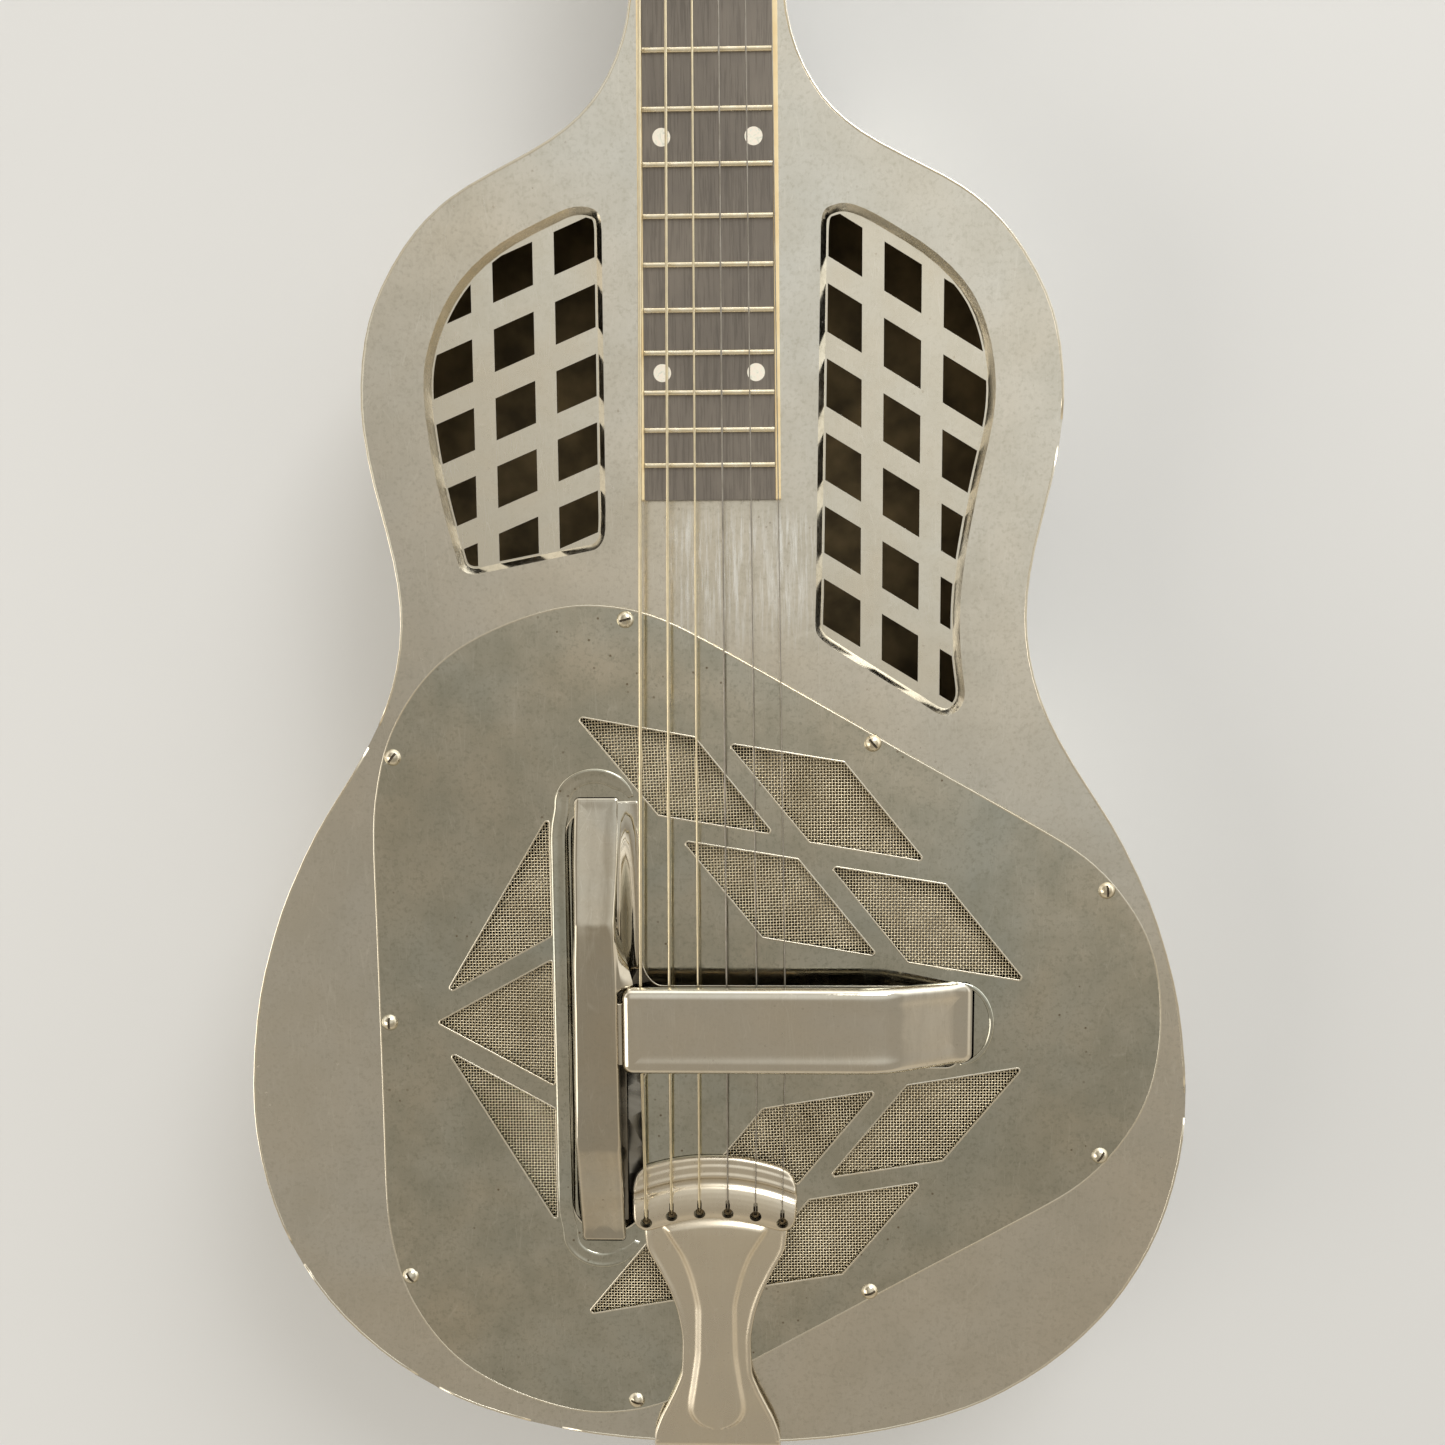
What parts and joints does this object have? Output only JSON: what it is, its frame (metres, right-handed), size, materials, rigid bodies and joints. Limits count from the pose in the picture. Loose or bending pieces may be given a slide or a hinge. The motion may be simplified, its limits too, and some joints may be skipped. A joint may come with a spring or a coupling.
{
  "type": "resonator guitar",
  "caption": "Metal-body guitar with three spun cones under a screened cover plate, lattice windows, square hollow neck and slotted headstock with geared tuners.",
  "frame": {"origin": "outer face of the back plate, on the centre line, directly under the bridge saddle", "axes": "+X to the treble side, +Y to the headstock, +Z out of the top; the guitar lies on its back"},
  "size_m": [0.3628, 1.0002, 0.096],
  "materials": {
    "nickel_body": "aged nickel plate, hazy with fine scratches",
    "cover_nickel": "aged nickel plate, blotched and scratched",
    "polished_nickel": "nickel plate, polished, worn at the edges",
    "satin_nickel": "satin nickel plate",
    "screw_nickel": "nickel plate",
    "soundwell_metal": "dull tarnished sheet",
    "spun_aluminium": "spun, bright",
    "maple": "bare maple",
    "screen_wire": "woven wire, dull",
    "ebonised_board": "ebonised, worn",
    "pearl": "mother of pearl",
    "cream_binding": "aged cream celluloid",
    "fret_wire": "polished fret wire",
    "bone": "polished bone",
    "mahogany": "dark lacquered mahogany",
    "tuner_metal": "nickel plate, aged",
    "gear_brass": "brass, aged",
    "ivoroid": "grained ivory-coloured celluloid",
    "wound_string": "bronze wound",
    "plain_string": "plain steel wire"
  },
  "bodies": {
    "guitar": {"body_sides": "nickel_body", "back_plate": "nickel_body", "neck_shell": "nickel_body", "top_plate": "nickel_body", "grille_bass": "nickel_body", "grille_treble": "nickel_body", "soundwell": "soundwell_metal", "cone_bass_upper": "spun_aluminium", "cone_bass_lower": "spun_aluminium", "cone_treble": "spun_aluminium", "t_bridge": "spun_aluminium", "saddle": "maple", "cover_plate": "cover_nickel", "cover_screens": "screen_wire", "cover_screws": "screw_nickel", "bridge_cover": "polished_nickel", "tailpiece": "satin_nickel", "tailpiece_screws": "screw_nickel", "fretboard": "ebonised_board", "position_dots": "pearl", "fretboard_binding": "cream_binding", "frets": "fret_wire", "nut": "bone", "headstock": "mahogany", "tuner_plate_bass": "tuner_metal", "tuner_plate_treble": "tuner_metal", "tuner_plate_screws": "screw_nickel", "string_1": "plain_string", "string_2": "plain_string", "string_3": "plain_string", "string_4": "wound_string", "string_5": "wound_string", "string_6": "wound_string"},
    "tuner_1": {"worm_shaft_1": "tuner_metal", "tuner_button_1": "ivoroid"},
    "post_1": {"string_post_1": "gear_brass", "string_winding_1": "plain_string"},
    "tuner_2": {"worm_shaft_2": "tuner_metal", "tuner_button_2": "ivoroid"},
    "post_2": {"string_post_2": "gear_brass", "string_winding_2": "plain_string"},
    "tuner_3": {"worm_shaft_3": "tuner_metal", "tuner_button_3": "ivoroid"},
    "post_3": {"string_post_3": "gear_brass", "string_winding_3": "plain_string"},
    "tuner_4": {"worm_shaft_4": "tuner_metal", "tuner_button_4": "ivoroid"},
    "post_4": {"string_post_4": "gear_brass", "string_winding_4": "wound_string"},
    "tuner_5": {"worm_shaft_5": "tuner_metal", "tuner_button_5": "ivoroid"},
    "post_5": {"string_post_5": "gear_brass", "string_winding_5": "wound_string"},
    "tuner_6": {"worm_shaft_6": "tuner_metal", "tuner_button_6": "ivoroid"},
    "post_6": {"string_post_6": "gear_brass", "string_winding_6": "wound_string"}
  },
  "joints": [
    {"name": "tuner_1_turn", "type": "hinge", "parent": "guitar", "child": "tuner_1", "pos_m": [0.0383, 0.70662, 0.05915], "axis": [0, 0.225, 0.9744], "continuous": true},
    {"name": "post_1_turn", "type": "hinge", "parent": "guitar", "child": "post_1", "pos_m": [0, 0.69972, 0.06075], "axis": [1, 0, 0], "continuous": true},
    {"name": "tuner_2_turn", "type": "hinge", "parent": "guitar", "child": "tuner_2", "pos_m": [0.0383, 0.74072, 0.05128], "axis": [0, 0.225, 0.9744], "continuous": true},
    {"name": "post_2_turn", "type": "hinge", "parent": "guitar", "child": "post_2", "pos_m": [0, 0.73383, 0.05287], "axis": [1, 0, 0], "continuous": true},
    {"name": "tuner_3_turn", "type": "hinge", "parent": "guitar", "child": "tuner_3", "pos_m": [0.0383, 0.77482, 0.04341], "axis": [0, 0.225, 0.9744], "continuous": true},
    {"name": "post_3_turn", "type": "hinge", "parent": "guitar", "child": "post_3", "pos_m": [0, 0.76793, 0.045], "axis": [1, 0, 0], "continuous": true},
    {"name": "tuner_4_turn", "type": "hinge", "parent": "guitar", "child": "tuner_4", "pos_m": [-0.0383, 0.77482, 0.04341], "axis": [0, 0.225, 0.9744], "continuous": true},
    {"name": "post_4_turn", "type": "hinge", "parent": "guitar", "child": "post_4", "pos_m": [0, 0.76793, 0.045], "axis": [1, 0, 0], "continuous": true},
    {"name": "tuner_5_turn", "type": "hinge", "parent": "guitar", "child": "tuner_5", "pos_m": [-0.0383, 0.74072, 0.05128], "axis": [0, 0.225, 0.9744], "continuous": true},
    {"name": "post_5_turn", "type": "hinge", "parent": "guitar", "child": "post_5", "pos_m": [0, 0.73383, 0.05287], "axis": [1, 0, 0], "continuous": true},
    {"name": "tuner_6_turn", "type": "hinge", "parent": "guitar", "child": "tuner_6", "pos_m": [-0.0383, 0.70662, 0.05915], "axis": [0, 0.225, 0.9744], "continuous": true},
    {"name": "post_6_turn", "type": "hinge", "parent": "guitar", "child": "post_6", "pos_m": [0, 0.69972, 0.06075], "axis": [1, 0, 0], "continuous": true}
  ],
  "couplings": [
    {"joint": "post_1_turn", "follows": "tuner_1_turn", "ratio": -0.071429},
    {"joint": "post_2_turn", "follows": "tuner_2_turn", "ratio": -0.071429},
    {"joint": "post_3_turn", "follows": "tuner_3_turn", "ratio": -0.071429},
    {"joint": "post_4_turn", "follows": "tuner_4_turn", "ratio": -0.071429},
    {"joint": "post_5_turn", "follows": "tuner_5_turn", "ratio": -0.071429},
    {"joint": "post_6_turn", "follows": "tuner_6_turn", "ratio": -0.071429}
  ]
}
